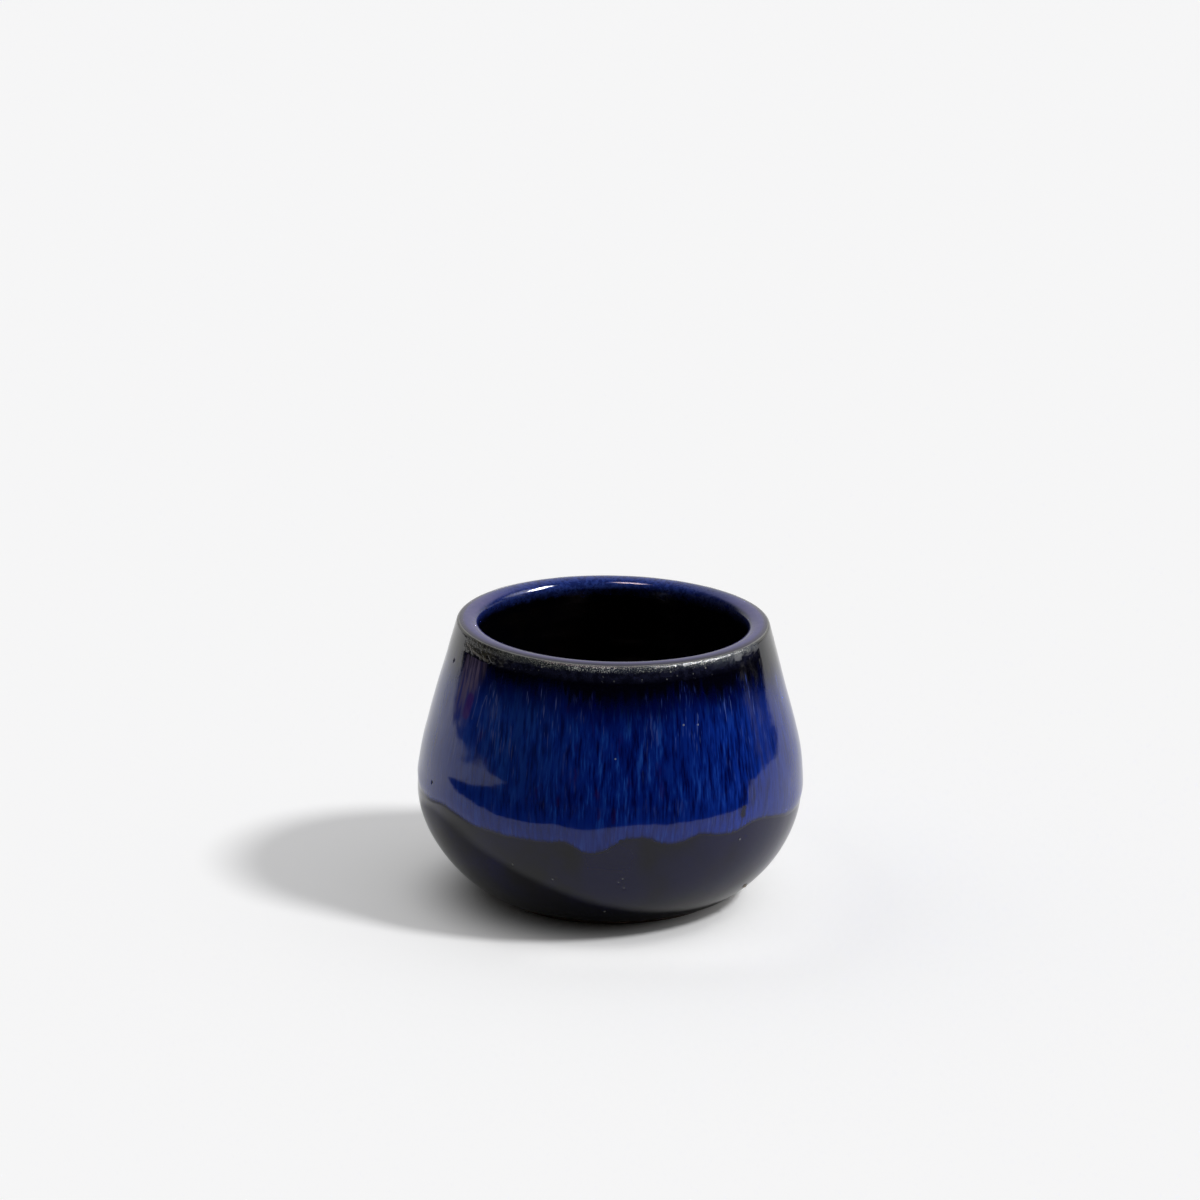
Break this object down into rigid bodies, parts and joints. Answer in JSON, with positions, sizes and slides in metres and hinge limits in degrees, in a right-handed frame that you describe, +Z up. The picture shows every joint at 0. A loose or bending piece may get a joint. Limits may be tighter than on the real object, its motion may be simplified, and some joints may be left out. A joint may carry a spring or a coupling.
{
  "type": "coffee cup",
  "caption": "Small handleless stoneware coffee cup with a low round belly, a wall that leans in to a thick lip, and a blue glaze that runs over a dark one.",
  "frame": {"origin": "centre of the foot ring, on the surface that the cup stands on", "axes": "+Z up along the axis on which the cup was thrown, -Y towards the front of the picture, +X to its right"},
  "size_m": [0.0762, 0.0762, 0.055],
  "materials": {
    "stoneware": "bare fired clay, matt",
    "dark_glaze": "gloss",
    "blue_glaze": "gloss, streaked",
    "lip_glaze": "gloss",
    "liner_glaze": "gloss"
  },
  "bodies": {
    "root": {"clay_body": "stoneware", "dark_glaze": "dark_glaze", "blue_glaze": "blue_glaze", "lip_glaze": "lip_glaze", "liner_glaze": "liner_glaze"}
  },
  "joints": []
}
